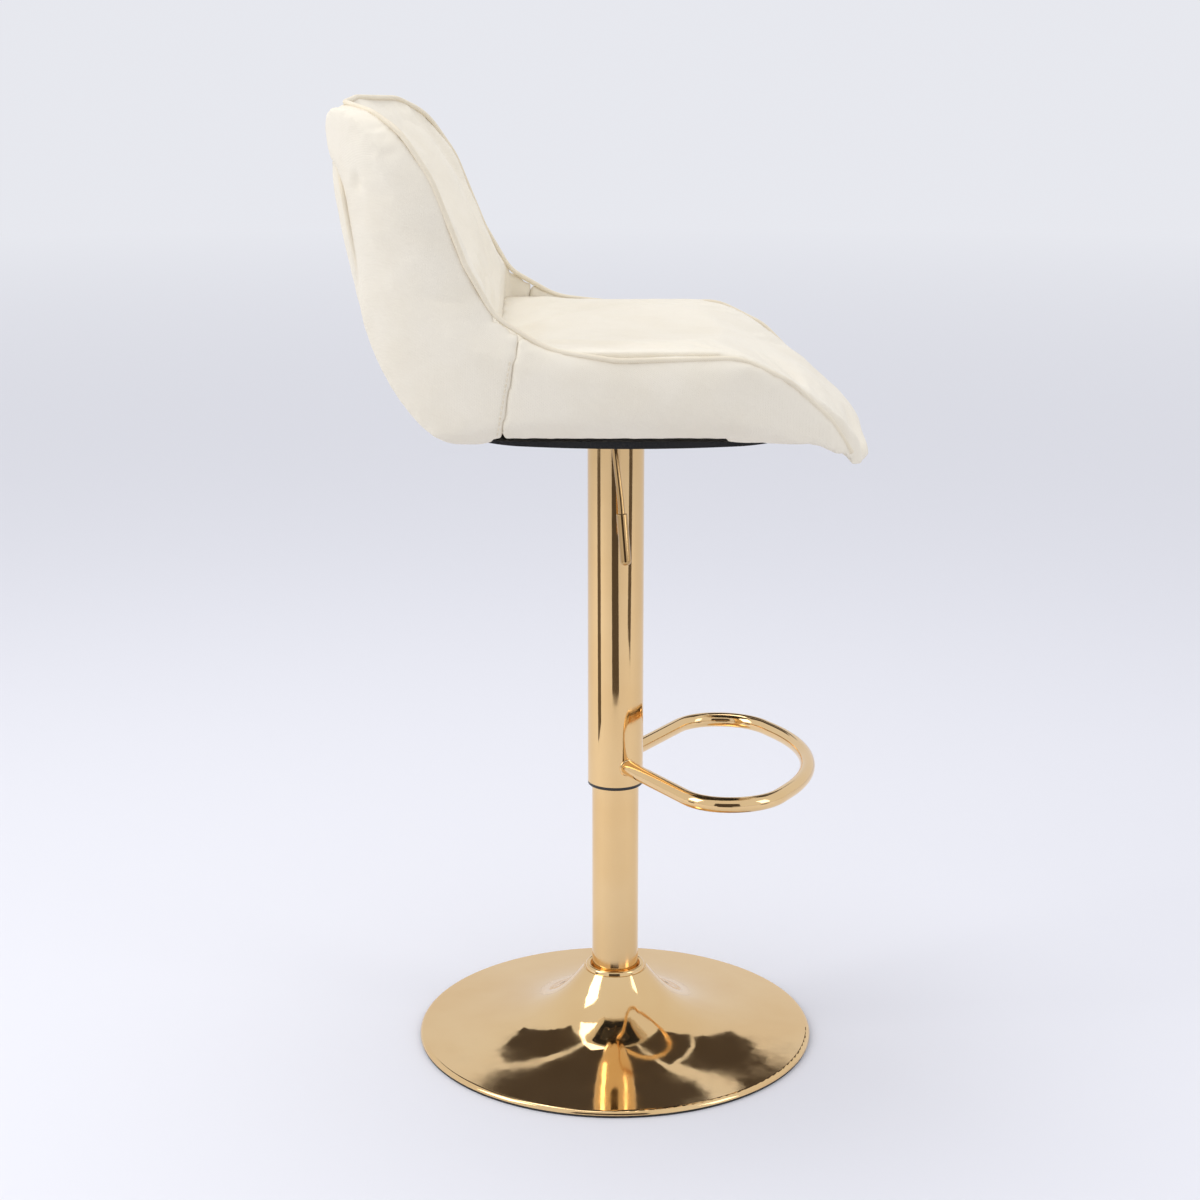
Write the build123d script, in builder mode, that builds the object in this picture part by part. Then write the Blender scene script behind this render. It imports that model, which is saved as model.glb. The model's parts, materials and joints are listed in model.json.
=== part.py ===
"""A height-adjustable bar stool: trumpet base, gas lift, footrest and upholstered bucket seat.

The frame: millimetres, +Z up, the sitter faces +X.  The origin is on the floor, on the
axis that the seat swivels about.  Heights are those of the stool with the seat raised to
its usual place, a little below the top of the gas lift's stroke.
"""

import os
from build123d import *

os.makedirs("parts", exist_ok=True)

# ---------------------------------------------------------------- driving dimensions
BASE_R = 214.0          # radius of the floor disc
BASE_NECK_R = 34.0      # radius where the spun disc meets the collar
BASE_NECK_Z = 75.5
SHEET_T = 1.6           # spun sheet of the base
COLUMN_R = 25.0         # lower, fixed column
COLUMN_WALL = 2.2
COLUMN_FOOT_Z = 12.0
COLUMN_TOP_Z = 452.5
TUBE_R = 29.5           # outer, moving tube that carries the footrest
TUBE_WALL = 1.6
TUBE_FOOT_Z = 290.0
TUBE_TOP_Z = 666.0
ROD_R = 5.0             # piston rod
CYLINDER_R = 14.0       # pressure cylinder
CYLINDER_BORE_R = 12.55
CYLINDER_FOOT_Z = 322.5
CYLINDER_TOP_Z = 664.5
TAPER_HUB_R = 20.0      # welded hub that the cylinder fits into
TAPER_HUB_Z = 640.5
PIN_R = 3.0             # release pin in the top of the cylinder
RUN = 0.05              # radial clearance of a running fit

FOOTREST_Z = 311.7
FOOTREST_BAR_R = 8.0

BOARD_TOP_Z = 690.5     # underside of the plywood shell
PLY_T = 10.0
PLATE_T = 2.5           # pressed seat plate
TRAY_DEPTH = 24.0
TRAY_X = 150.0
TRAY_Y = 124.0
FLANGE_X = 200.0
FLANGE_Y = 178.0
BOLT_X = 60.0
BOLT_Y = 74.0

LEVER_R = 3.3
LEVER_Z = 676.5
LEVER_X = -3.0
LEVER_PIVOT_Y = -45.0

SEAT_CORE_HALF = 196.0  # half-width of the foam under the sitter
BACK_CORE_HALF = 166.5  # half-width of the foam behind the sitter
REAR_PANEL_HALF = 153.0
REAR_PANEL_TOP_Z = 962.0
PIPING_R = 2.6
SCOOP_R = 374.0         # radius that the backrest wraps round the sitter with
PAN_R = 956.0          # radius of the shallow dish that the sitter sits in
CREASE_X = -121.0       # where the seat and the back meet
BAND_SEAM_X = -101.5    # seam between the seat's and the back's side bands


def save(part, name):
    """Label one finished piece and write it to its own file."""
    part.label = name
    export_step(part, f"parts/{name}.step")


# ---------------------------------------------------------------- floor base
# Spun sheet: a trumpet flare from the neck out to a rolled rim.
FLARE = [(BASE_NECK_R, BASE_NECK_Z), (52, 53.2), (88.6, 26.4), (142.6, 12.4), (BASE_R - 5, 7.2)]
FLARE_ENDS = [Vector(0.62, -0.78), Vector(1, -0.05)]
# the same points moved through the sheet, square to the flare at each
FLARE_UNDER = [
    (BASE_NECK_R - 1.25, BASE_NECK_Z - 1.0),
    (50.9, 52.0),
    (87.8, 24.9),
    (142.4, 10.8),
    (BASE_R - 5.2, 5.6),
]

with BuildPart() as base_shell:
    with BuildSketch(Plane.XZ):
        with BuildLine():
            over = Spline(*FLARE, tangents=FLARE_ENDS)
            under = Spline(*FLARE_UNDER, tangents=FLARE_ENDS)
            rim = RadiusArc(over @ 1, (BASE_R, 2.8), 4.8)
            lip = Line(rim @ 1, (BASE_R - SHEET_T, 2.8))
            RadiusArc(under @ 1, lip @ 1, 3.4)
            Line(over @ 0, under @ 0)
        make_face()
    revolve(axis=Axis.Z)
save(base_shell.part, "base_shell")

with BuildPart() as base_collar:
    with BuildSketch(Plane.XZ):
        with BuildLine():
            Polyline(
                (COLUMN_R + 0.2, 64.5),
                (COLUMN_R + 0.2, 76),
                (COLUMN_R + 1.4, 77.7),
            )
            ThreePointArc(
                (COLUMN_R + 1.4, 77.7), (COLUMN_R + 4.2, 80.1), (COLUMN_R + 7.2, 77.5)
            )
            Polyline(
                (COLUMN_R + 7.2, 77.5),
                (COLUMN_R + 7.6, 75.8),
                (BASE_NECK_R, 75.8),
                (BASE_NECK_R - 2.4, 75.6),
                (COLUMN_R + 6, 72.5),
                (COLUMN_R + 6, 64.5),
                (COLUMN_R + 0.2, 64.5),
            )
        make_face()
    revolve(axis=Axis.Z)
save(base_collar.part, "base_collar")

# The welded hub that holds the foot of the column: a plain sleeve.
with BuildPart() as base_hub:
    with BuildSketch(Plane.XY.offset(COLUMN_FOOT_Z)):
        Circle(COLUMN_R + 6)
        Circle(COLUMN_R, mode=Mode.SUBTRACT)
    extrude(amount=52.5)
save(base_hub.part, "base_hub")

# Domed cast weight that fills the space under the spun disc.
with BuildPart() as ballast:
    with BuildSketch(Plane.XZ):
        with BuildLine():
            top = Spline(
                (COLUMN_R + 6, 48),
                (61, 36.5),
                (88, 19.5),
                (142, 8.2),
                (191, 4.9),
            )
            Polyline(
                top @ 1,
                (191, 3.6),
                (12, 3.6),
                (12, COLUMN_FOOT_Z),
                (COLUMN_R + 6, COLUMN_FOOT_Z),
                top @ 0,
            )
        make_face()
    revolve(axis=Axis.Z)
save(ballast.part, "ballast")

# Black rubber ring under the rolled rim: the face that stands on the floor.
with BuildPart() as floor_ring:
    with BuildSketch(Plane.XZ):
        with BuildLine():
            Polyline(
                (199, 0),
                (BASE_R - 1, 0),
                (BASE_R - 0.4, 2.6),
                (BASE_R - 4, 2.6),
                (BASE_R - 7, 4.6),
                (199, 4.6),
                (199, 0),
            )
        make_face()
    revolve(axis=Axis.Z)
save(floor_ring.part, "floor_ring")

# ---------------------------------------------------------------- fixed column
with BuildPart() as column:
    with BuildSketch(Plane.XY.offset(COLUMN_FOOT_Z)):
        Circle(COLUMN_R)
    extrude(amount=COLUMN_TOP_Z - COLUMN_FOOT_Z)
    with BuildSketch(Plane.XY.offset(COLUMN_FOOT_Z + 3)):
        Circle(COLUMN_R - COLUMN_WALL)
    extrude(amount=COLUMN_TOP_Z, mode=Mode.SUBTRACT)
    with BuildSketch(Plane.XY.offset(COLUMN_FOOT_Z)):
        Circle(ROD_R + 1)
    extrude(amount=3, mode=Mode.SUBTRACT)
save(column.part, "column")

with BuildPart() as guide_bush:
    with BuildSketch(Plane.XY.offset(372.5)):
        Circle(COLUMN_R - COLUMN_WALL)
    extrude(amount=COLUMN_TOP_Z - 372.5)
    with BuildSketch(Plane.XY.offset(COLUMN_TOP_Z)):
        Circle(COLUMN_R - 0.6)
    extrude(amount=2.5)
    with BuildSketch(Plane.XY.offset(372.5)):
        Circle(CYLINDER_R + RUN)
    extrude(amount=100, mode=Mode.SUBTRACT)
save(guide_bush.part, "guide_bush")


def washer(name, z, thickness, inner, outer):
    """A flat ring about the swivel axis."""
    with BuildPart() as ring:
        with BuildSketch(Plane.XY.offset(z)):
            Circle(outer)
            Circle(inner, mode=Mode.SUBTRACT)
        extrude(amount=thickness)
    save(ring.part, name)


# ---------------------------------------------------------------- thrust bearing
RACE_FOOT_Z = COLUMN_FOOT_Z + 3
RACE_T = 2.0
BALL_R = 2.0
BALL_GAP = 0.03
BALL_PITCH_R = 11.0
BALL_COUNT = 10
ball_z = RACE_FOOT_Z + RACE_T + BALL_GAP + BALL_R
upper_race_z = ball_z + BALL_R + BALL_GAP

washer("bearing_lower_race", RACE_FOOT_Z, RACE_T, ROD_R + 1, 15)
washer("bearing_upper_race", upper_race_z, RACE_T, ROD_R, 15)

with BuildPart() as bearing_balls:
    with Locations((0, 0, ball_z)):
        with PolarLocations(BALL_PITCH_R, BALL_COUNT):
            Sphere(BALL_R)
save(bearing_balls.part, "bearing_balls")

with BuildPart() as bearing_cage:
    with BuildSketch(Plane.XY.offset(ball_z - 0.8)):
        Circle(14.5)
        Circle(7.5, mode=Mode.SUBTRACT)
        with PolarLocations(BALL_PITCH_R, BALL_COUNT):
            Circle(BALL_R + 0.1, mode=Mode.SUBTRACT)
    extrude(amount=1.6)
save(bearing_cage.part, "bearing_cage")

# ---------------------------------------------------------------- piston rod
ROD_FOOT_Z = 6.0
PISTON_Z = 382.5
PISTON_H = 14.0
CLIP_Z = 9.0
CLIP_T = 1.2

with BuildPart() as piston_rod:
    with BuildSketch(Plane.XY.offset(ROD_FOOT_Z)):
        Circle(ROD_R)
    extrude(amount=PISTON_Z + PISTON_H - ROD_FOOT_Z)
    with BuildSketch(Plane.XY.offset(CLIP_Z)):
        Circle(ROD_R)
        Circle(ROD_R - 1, mode=Mode.SUBTRACT)
    extrude(amount=CLIP_T, mode=Mode.SUBTRACT)
    chamfer(piston_rod.faces().sort_by(Axis.Z)[0].edges(), 0.8)
save(piston_rod.part, "piston_rod")

# Retaining clip: a ring with a mouth that snaps into the groove of the rod.
with BuildPart() as rod_clip:
    with BuildSketch(Plane.XY.offset(CLIP_Z)):
        Circle(8)
        Circle(ROD_R - 1, mode=Mode.SUBTRACT)
        with Locations((6, 0)):
            Rectangle(10, 5, mode=Mode.SUBTRACT)
    extrude(amount=CLIP_T)
save(rod_clip.part, "rod_clip")

washer("clip_washer", CLIP_Z + CLIP_T, 1.4, ROD_R, 9.5)
washer("bump_stop", 26, 34, ROD_R, 12)

with BuildPart() as piston:
    with BuildSketch(Plane.XY.offset(PISTON_Z)):
        Circle(CYLINDER_BORE_R - RUN)
        Circle(ROD_R, mode=Mode.SUBTRACT)
    extrude(amount=PISTON_H)
    with BuildSketch(Plane.XY.offset(PISTON_Z + 5)):
        Circle(CYLINDER_BORE_R + 1)
        Circle(CYLINDER_BORE_R - 2, mode=Mode.SUBTRACT)
    extrude(amount=4, mode=Mode.SUBTRACT)
save(piston.part, "piston")
washer("piston_seal", PISTON_Z + 5, 4, CYLINDER_BORE_R - 2, CYLINDER_BORE_R - 0.03)

# ---------------------------------------------------------------- pressure cylinder
with BuildPart() as pressure_cylinder:
    with BuildSketch(Plane.XY.offset(CYLINDER_FOOT_Z)):
        Circle(CYLINDER_R)
        Circle(CYLINDER_BORE_R, mode=Mode.SUBTRACT)
    extrude(amount=CYLINDER_TOP_Z - CYLINDER_FOOT_Z)
save(pressure_cylinder.part, "pressure_cylinder")

washer("rod_guide", CYLINDER_FOOT_Z + 1, 18, ROD_R + RUN, CYLINDER_BORE_R)
washer("rod_seal", CYLINDER_FOOT_Z + 19, 6, ROD_R + RUN, CYLINDER_BORE_R)
washer("valve_body", CYLINDER_TOP_Z - 44, 44, PIN_R + RUN, CYLINDER_BORE_R)

PIN_FOOT_Z = 644.5
PIN_TOP_Z = LEVER_Z - LEVER_R - 0.5

with BuildPart() as release_pin:
    with BuildSketch(Plane.XY.offset(PIN_FOOT_Z)):
        Circle(PIN_R)
    extrude(amount=PIN_TOP_Z - PIN_FOOT_Z)
    fillet(release_pin.faces().sort_by(Axis.Z)[-1].edges(), 1.2)
save(release_pin.part, "release_pin")

# ---------------------------------------------------------------- footrest
with BuildPart() as footrest_tube:
    with BuildSketch(Plane.XY.offset(TUBE_FOOT_Z)):
        Circle(TUBE_R)
        Circle(TUBE_R - TUBE_WALL, mode=Mode.SUBTRACT)
    extrude(amount=TUBE_TOP_Z - TUBE_FOOT_Z)
save(footrest_tube.part, "footrest_tube")

# Nylon glide: a sleeve inside the tube with a lip that shows below it.
with BuildPart() as glide_ring:
    with BuildSketch(Plane.XY.offset(TUBE_FOOT_Z - 3.5)):
        Circle(TUBE_R - 0.2)
    extrude(amount=3.5)
    chamfer(glide_ring.faces().sort_by(Axis.Z)[0].edges(), 0.6)
    with BuildSketch(Plane.XY.offset(TUBE_FOOT_Z)):
        Circle(TUBE_R - TUBE_WALL)
    extrude(amount=35)
    with BuildSketch(Plane.XY.offset(TUBE_FOOT_Z - 5)):
        Circle(COLUMN_R + 0.08)
    extrude(amount=50, mode=Mode.SUBTRACT)
save(glide_ring.part, "glide_ring")

washer("centring_bush", 648, 14, TAPER_HUB_R, TUBE_R - TUBE_WALL)

# The bar: straight arms that spread from the tube, round corners and a long front bow.
ARM_START = (8.3, 18.1)
BAR_HALF_WIDTH = 143.9
BAR_FRONT_X = 204.7

with BuildPart() as footrest_bar:
    half = [
        ARM_START,
        (85.6, BAR_HALF_WIDTH),
        (150.8, BAR_HALF_WIDTH),
        (BAR_FRONT_X, 53.8),
    ]
    other_half = [(x, -y) for x, y in reversed(half)]
    with BuildLine(Plane.XY.offset(FOOTREST_Z)) as loop_line:
        FilletPolyline(*half, *other_half, radius=[50, 60, 190, 190, 60, 50])
    arm_dir = (half[1][0] - half[0][0], half[1][1] - half[0][1], 0)
    with BuildSketch(Plane(origin=(*ARM_START, FOOTREST_Z), z_dir=arm_dir)):
        Circle(FOOTREST_BAR_R)
    sweep(path=loop_line.wires()[0])
    with BuildSketch(Plane.XY.offset(FOOTREST_Z - 40)):
        Circle(TUBE_R)
    extrude(amount=80, mode=Mode.SUBTRACT)
save(footrest_bar.part, "footrest_bar")

# ---------------------------------------------------------------- seat plate
TRAY_FOOT_Z = BOARD_TOP_Z - TRAY_DEPTH

with BuildPart() as seat_plate:
    with BuildSketch(Plane.XY.offset(BOARD_TOP_Z - PLATE_T)):
        RectangleRounded(FLANGE_X, FLANGE_Y, 12)
    extrude(amount=PLATE_T)
    with BuildSketch(Plane.XY.offset(TRAY_FOOT_Z)):
        RectangleRounded(TRAY_X, TRAY_Y, 14)
    extrude(amount=TRAY_DEPTH)
    with BuildSketch(Plane.XY.offset(TRAY_FOOT_Z + PLATE_T)):
        RectangleRounded(TRAY_X - 2 * PLATE_T, TRAY_Y - 2 * PLATE_T, 14 - PLATE_T)
    extrude(amount=TRAY_DEPTH, mode=Mode.SUBTRACT)
    with BuildSketch(Plane.XY.offset(TRAY_FOOT_Z)):
        Circle(10)
    extrude(amount=PLATE_T, mode=Mode.SUBTRACT)
    with BuildSketch(Plane.XY.offset(BOARD_TOP_Z - PLATE_T)):
        with GridLocations(2 * BOLT_X, 2 * BOLT_Y, 2, 2):
            Circle(3.2)
    extrude(amount=PLATE_T, mode=Mode.SUBTRACT)
    # the mouth that the lever comes out through, tall enough for its swing
    with BuildSketch(Plane.XZ.offset(TRAY_Y / 2 - 6)):
        with Locations((LEVER_X, LEVER_Z + 1.5)):
            RectangleRounded(9, 12, 2)
    extrude(amount=12, mode=Mode.SUBTRACT)
save(seat_plate.part, "seat_plate")

washer("taper_hub", TAPER_HUB_Z, TRAY_FOOT_Z - TAPER_HUB_Z, CYLINDER_R, TAPER_HUB_R)

# ---------------------------------------------------------------- height lever
EAR_T = 3.0
EAR_IN = 8.0

with BuildPart() as lever_bracket:
    for side in (-1, 1):
        with BuildSketch(Plane.YZ.offset(LEVER_X + side * (EAR_IN + EAR_T / 2))):
            with Locations((LEVER_PIVOT_Y, (TRAY_FOOT_Z + PLATE_T + LEVER_Z + 6) / 2)):
                Rectangle(14, LEVER_Z + 6 - TRAY_FOOT_Z - PLATE_T)
            with Locations((LEVER_PIVOT_Y, LEVER_Z)):
                Circle(2.5, mode=Mode.SUBTRACT)
        extrude(amount=EAR_T / 2, both=True)
save(lever_bracket.part, "lever_bracket")

with BuildPart() as lever_pivot:
    with BuildSketch(Plane.YZ.offset(LEVER_X)):
        with Locations((LEVER_PIVOT_Y, LEVER_Z)):
            Circle(2.5)
    extrude(amount=EAR_IN + EAR_T + 2, both=True)
save(lever_pivot.part, "lever_pivot")

LEVER_ELBOW = (LEVER_X, -78.5, LEVER_Z)
LEVER_KINK = (4.3, -90.6, 614.6)
LEVER_TIP = (9.2, -99.8, 555.4)

with BuildPart() as lever_rod:
    with BuildLine() as lever_line:
        FilletPolyline(
            (LEVER_X, 5.0, LEVER_Z),
            LEVER_ELBOW,
            LEVER_KINK,
            LEVER_TIP,
            radius=[12, 40],
        )
    with BuildSketch(Plane(origin=(LEVER_X, 5.0, LEVER_Z), z_dir=(0, -1, 0))):
        Circle(LEVER_R)
    sweep(path=lever_line.wires()[0])
    with BuildSketch(Plane.YZ.offset(LEVER_X)):
        with Locations((LEVER_PIVOT_Y, LEVER_Z)):
            Circle(6)
    extrude(amount=EAR_IN - 0.5, both=True)
    with BuildSketch(Plane.YZ.offset(LEVER_X)):
        with Locations((LEVER_PIVOT_Y, LEVER_Z)):
            Circle(2.5 + RUN)
    extrude(amount=20, both=True, mode=Mode.SUBTRACT)
save(lever_rod.part, "lever_rod")

# Grip: a slim metal sleeve on the end of the rod, with a domed tip.
GRIP_R = 5.6
GRIP_L = 52.0
grip_dir = (Vector(LEVER_TIP) - Vector(LEVER_KINK)).normalized()
grip_plane = Plane(
    origin=Vector(LEVER_TIP) - grip_dir * (GRIP_L - 5),
    x_dir=(1, 0, 0),
    z_dir=grip_dir,
)

with BuildPart() as lever_grip:
    with BuildSketch(grip_plane):
        Circle(GRIP_R)
    extrude(amount=GRIP_L)
    fillet(lever_grip.edges().filter_by(GeomType.CIRCLE).sort_by(Axis.Z)[0], 4.4)
    fillet(lever_grip.edges().filter_by(GeomType.CIRCLE).sort_by(Axis.Z)[-1], 1.0)
    with BuildSketch(grip_plane):
        Circle(LEVER_R)
    extrude(amount=GRIP_L - 5, mode=Mode.SUBTRACT)
save(lever_grip.part, "lever_grip")

# ---------------------------------------------------------------- seat fasteners
T_NUT_FLANGE_R = 9.0
T_NUT_FLANGE_T = 1.5

with BuildPart() as bolt_washers:
    with BuildSketch(Plane.XY.offset(BOARD_TOP_Z - PLATE_T - 1.2)):
        with GridLocations(2 * BOLT_X, 2 * BOLT_Y, 2, 2):
            Circle(6)
            Circle(3.2, mode=Mode.SUBTRACT)
    extrude(amount=1.2)
save(bolt_washers.part, "bolt_washers")

with BuildPart() as seat_bolts:
    with BuildSketch(Plane.XY.offset(BOARD_TOP_Z - PLATE_T - 1.2 - 4)):
        with GridLocations(2 * BOLT_X, 2 * BOLT_Y, 2, 2):
            RegularPolygon(5.5, 6)
    extrude(amount=4)
    with BuildSketch(Plane.XY.offset(BOARD_TOP_Z - PLATE_T - 1.2)):
        with GridLocations(2 * BOLT_X, 2 * BOLT_Y, 2, 2):
            Circle(3)
    extrude(amount=12.5)
save(seat_bolts.part, "seat_bolts")

with BuildPart() as t_nuts:
    with BuildSketch(Plane.XY.offset(BOARD_TOP_Z + 0.5)):
        with GridLocations(2 * BOLT_X, 2 * BOLT_Y, 2, 2):
            Circle(4)
    extrude(amount=PLY_T - 0.5)
    with BuildSketch(Plane.XY.offset(BOARD_TOP_Z + PLY_T - T_NUT_FLANGE_T)):
        with GridLocations(2 * BOLT_X, 2 * BOLT_Y, 2, 2):
            Circle(T_NUT_FLANGE_R)
    extrude(amount=T_NUT_FLANGE_T)
    with BuildSketch(Plane.XY.offset(BOARD_TOP_Z)):
        with GridLocations(2 * BOLT_X, 2 * BOLT_Y, 2, 2):
            Circle(3)
    extrude(amount=PLY_T, mode=Mode.SUBTRACT)
save(t_nuts.part, "t_nuts")


# ---------------------------------------------------------------- outlines of the seat
def plan_outline():
    """The whole seat from above: a bow at the back, wide sides, a rounded front."""
    with BuildSketch(Plane.XY.offset(500)) as view:
        with BuildLine():
            Spline(
                (-283.2, 0),
                (-263.8, 137.5),
                (-210.5, 185.2),
                (-104.2, 214),
                (19, 219.3),
                (113.9, 216.5),
                (190.3, 192.2),
                (230.4, 160.6),
                (247.1, 95.8),
                (255, 0),
                tangents=[(0, 1), (0, -1)],
            )
            mirror(about=Plane.XZ)
        make_face()
    return view.sketch


def front_outline():
    """The whole seat from the front: wide at the seat, drawn in towards the top."""
    with BuildSketch(Plane.YZ.offset(-400)) as view:
        with BuildLine():
            side = Spline(
                (0, 1004.5),
                (101.6, 1003.6),
                (153.5, 994.6),
                (176.4, 959.4),
                (190.5, 863),
                (199.1, 811.6),
                (217.3, 759.6),
                (218.2, 721.4),
                (196, BOARD_TOP_Z),
                tangents=[(1, 0), (-0.8, -1)],
            )
            Polyline(side @ 1, (182.4, 648.9), (0, 648.9))
            mirror(about=Plane.YZ)
        make_face()
    return view.sketch


def seat_core_outline():
    """The foam of the seat from above, inside the side bands."""
    with BuildSketch(Plane.XY.offset(500)) as view:
        with BuildLine():
            Line((CREASE_X, 0), (CREASE_X, SEAT_CORE_HALF))
            Line((CREASE_X, SEAT_CORE_HALF), (76, SEAT_CORE_HALF))
            Spline(
                (76, SEAT_CORE_HALF),
                (181.1, 173.4),
                (224.9, 142.9),
                (259.2, 0),
                tangents=[(1, 0), (0, -1)],
            )
            mirror(about=Plane.XZ)
        make_face()
    return view.sketch


def trim_to_outlines():
    """Cut the part in hand back to the seat's outline from above and from the front."""
    extrude(plan_outline(), amount=700, mode=Mode.INTERSECT)
    extrude(front_outline(), amount=800, mode=Mode.INTERSECT)


# The rear of the backrest, as arcs from its top edge down and under to the board.
BACK_ARCS = [
    ((-269.7, 1003.6), (-279.1, 998.2), (-282.2, 986.5)),
    ((-282.2, 986.5), (-267.8, 911.9), (-252.2, 836.9)),
    ((-252.2, 836.9), (-230.4, 769.1), (-190.8, 711.8)),
    ((-190.8, 711.8), (-175.7, 699.3), (-157.7, BOARD_TOP_Z)),
]

# The top line of the side bands, which the piping follows from front to top.
PIPING_POINTS = [
    (227.9, 673.2),
    (190.5, 726.2),
    (123.2, 772),
    (0, 775.7),
    (-60.6, 782.4),
    (-107.7, 805),
    (-139.1, 850),
    (-159.7, 908.3),
    (-181.1, 953.9),
    (-221.9, 995.5),
    (-269.7, 1003.6),
]

# ---------------------------------------------------------------- plywood shell
PLY_TOP_Z = 945.5
PLY_HALF = 140.0

PLY_CORNERS = [(196, BOARD_TOP_Z), (-151, BOARD_TOP_Z), (-213.9, 785.2), (-236.2, 873.2)]
PLY_END = (-251, PLY_TOP_Z)
PLY_RADII = [61, 117, 192]


def ply_line(inset):
    """The bent sheet's line from front to top, moved inset millimetres inwards."""
    corners = [Vector(*xy) for xy in [*PLY_CORNERS, PLY_END]]
    runs = [(b - a).normalized() for a, b in zip(corners, corners[1:])]
    sides = [Vector(run.Y, -run.X) for run in runs]
    points = [corners[0] + sides[0] * inset]
    for corner, one, two in zip(corners[1:], sides, sides[1:]):
        bisector = (one + two).normalized()
        points.append(corner + bisector * (inset / bisector.dot(one)))
    points.append(corners[-1] + sides[-1] * inset)
    return FilletPolyline(*points, radius=[r - inset for r in PLY_RADII])


def ply_outline():
    """Side view of the bent plywood."""
    with BuildSketch(Plane.XZ) as view:
        with BuildLine():
            under = ply_line(0)
            over = ply_line(PLY_T)
            Line(under @ 0, over @ 0)
            Line(under @ 1, over @ 1)
        make_face()
    return view.sketch


with BuildPart() as seat_shell:
    extrude(ply_outline(), amount=PLY_HALF, both=True)
    with BuildSketch(Plane.XY.offset(BOARD_TOP_Z)):
        with GridLocations(2 * BOLT_X, 2 * BOLT_Y, 2, 2):
            Circle(4)
    extrude(amount=PLY_T, mode=Mode.SUBTRACT)
    with BuildSketch(Plane.XY.offset(BOARD_TOP_Z + PLY_T - T_NUT_FLANGE_T)):
        with GridLocations(2 * BOLT_X, 2 * BOLT_Y, 2, 2):
            Circle(T_NUT_FLANGE_R)
    extrude(amount=T_NUT_FLANGE_T, mode=Mode.SUBTRACT)
save(seat_shell.part, "seat_shell")

# ---------------------------------------------------------------- upholstery
with BuildPart() as seat_pad:
    with BuildSketch(Plane.XZ):
        with BuildLine():
            crest = Spline(
                (CREASE_X, 793.7),
                (-56.8, 782.4),
                (56.8, 781.4),
                (118.4, 775.7),
                (190.3, 732.9),
                (253, 664.4),
                tangents=[(1, -0.35), (0.5, -1)],
            )
            Spline(
                crest @ 1,
                (239.8, 655.7),
                (198.8, BOARD_TOP_Z - 3),
                tangents=[(-0.3, -1), (-1, 0.4)],
            )
            Polyline(
                (198.8, BOARD_TOP_Z - 3),
                (198.8, BOARD_TOP_Z + PLY_T),
                (CREASE_X, BOARD_TOP_Z + PLY_T),
                crest @ 0,
            )
        make_face()
    extrude(amount=240, both=True)
    extrude(seat_core_outline(), amount=400, mode=Mode.INTERSECT)
    trim_to_outlines()
    # the shallow dish that the sitter sits in
    with BuildSketch(Plane.YZ.offset(-200)):
        with Locations((0, 764.4 + PAN_R)):
            Circle(PAN_R)
    extrude(amount=600, mode=Mode.SUBTRACT)
save(seat_pad.part, "seat_pad")

INNER_BACK_FOOT = Vector(-118.5, 0, 771)
INNER_BACK_TOP = Vector(-264.2, 0, 1002.7)

with BuildPart() as back_pad:
    with BuildSketch(Plane.XZ):
        with BuildLine():
            front = Spline(
                (CREASE_X, 816.3),
                (-139.1, 850),
                (-159.7, 908.3),
                (-181.1, 953.9),
                (-221.9, 995.5),
                (-266, 1003.6),
                tangents=[(-0.55, 1), (-1, 0.1)],
            )
            sheet = ply_line(PLY_T)
            Polyline(front @ 1, PLY_END, sheet @ 1)
            Polyline(sheet @ 0, (195.5, 712), (CREASE_X, 712), front @ 0)
        make_face()
    extrude(amount=BACK_CORE_HALF, both=True)
    with BuildSketch(Plane.XY.offset(500)):
        with Locations((CREASE_X, 0)):
            Rectangle(600, 600, align=(Align.MIN, Align.CENTER))
    extrude(amount=212, mode=Mode.SUBTRACT)
    trim_to_outlines()
    # the hollow that the sitter leans into: a leaning cylinder
    lean = (INNER_BACK_TOP - INNER_BACK_FOOT).normalized()
    ahead = Vector(lean.Z, 0, -lean.X)
    leaning = Plane(
        origin=INNER_BACK_FOOT + ahead * SCOOP_R - lean * 200,
        x_dir=(0, 1, 0),
        z_dir=lean,
    )
    with BuildSketch(leaning):
        Circle(SCOOP_R)
    extrude(amount=700, mode=Mode.SUBTRACT)
save(back_pad.part, "back_pad")


def rear_zone():
    """Side view of everything from the plywood back to the rear of the backrest."""
    with BuildSketch(Plane.XZ) as view:
        with BuildLine():
            for arc in BACK_ARCS:
                ThreePointArc(*arc)
            sheet = ply_line(0)
            Polyline(sheet @ 1, (-266, 1003.6), (-269.7, 1003.6))
            Polyline((-157.7, BOARD_TOP_Z), (-157.7, 622), (196, 622), sheet @ 0)
        make_face()
    return view.sketch


def rear_panel_outline():
    """The rear panel from behind: straight sides and an arched top."""
    with BuildSketch(Plane.YZ.offset(-400)) as view:
        with BuildLine():
            Polyline((0, 663.5), (124.6, 663.5), (REAR_PANEL_HALF, 863), (148.4, 909.2))
            corner = ThreePointArc((148.4, 909.2), (137.7, 939.4), (109.6, 952.1))
            TangentArc((109.6, 952.1), (0, REAR_PANEL_TOP_Z), tangent=corner % 1)
            mirror(about=Plane.YZ)
        make_face()
    return view.sketch


with BuildPart() as rear_panel:
    extrude(rear_zone(), amount=200, both=True)
    extrude(rear_panel_outline(), amount=400, mode=Mode.INTERSECT)
    with BuildSketch(Plane.XY.offset(BOARD_TOP_Z)):
        Rectangle(700, 700)
    extrude(amount=-200, mode=Mode.SUBTRACT)
    trim_to_outlines()
save(rear_panel.part, "rear_panel")


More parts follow.
